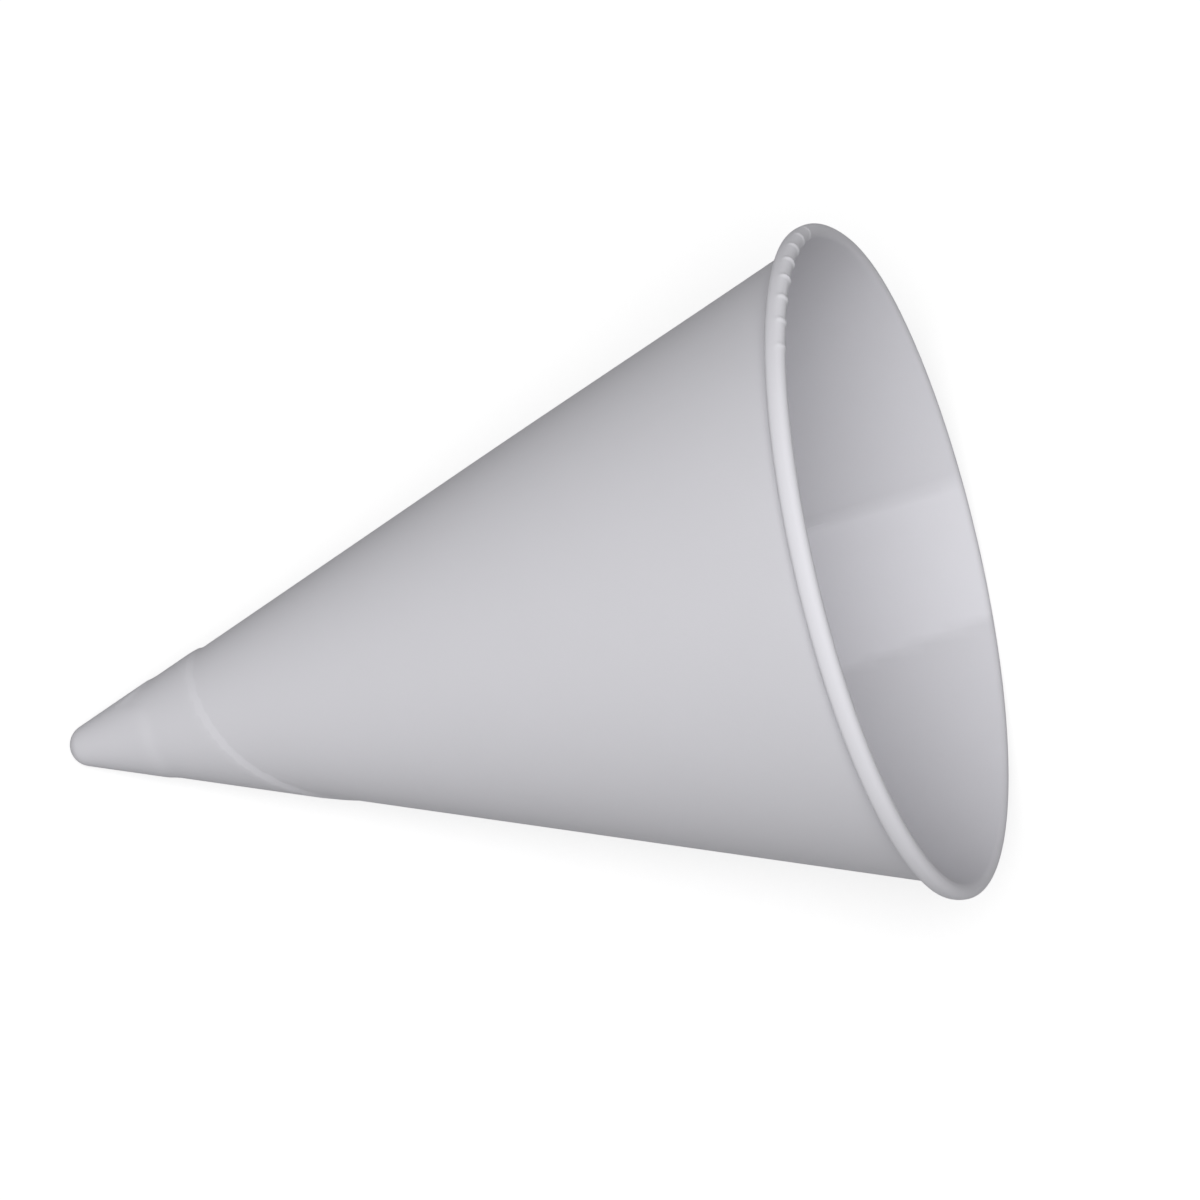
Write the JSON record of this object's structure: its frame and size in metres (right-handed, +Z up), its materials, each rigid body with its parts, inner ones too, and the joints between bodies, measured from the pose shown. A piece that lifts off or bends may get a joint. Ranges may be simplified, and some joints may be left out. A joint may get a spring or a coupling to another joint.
{
  "type": "cone paper cup",
  "caption": "Pointed drinking cup wound from white paper, with a glued overlap, a rounded tip and a rolled rim, lying on its side.",
  "frame": {"origin": "centre of the cup's outline on the surface that it lies on, straight below the middle of its length and width", "axes": "+Z up from the surface, +X from the tip towards the mouth, with the cup's own axis rising 20.5 degrees towards +X; the glued overlap is underneath"},
  "size_m": [0.101, 0.073, 0.0684],
  "materials": {
    "white_paper": "matt uncoated white paper with a faint cool tint and fine fibres"
  },
  "bodies": {
    "root": {"paper_cup": "white_paper"}
  },
  "joints": []
}
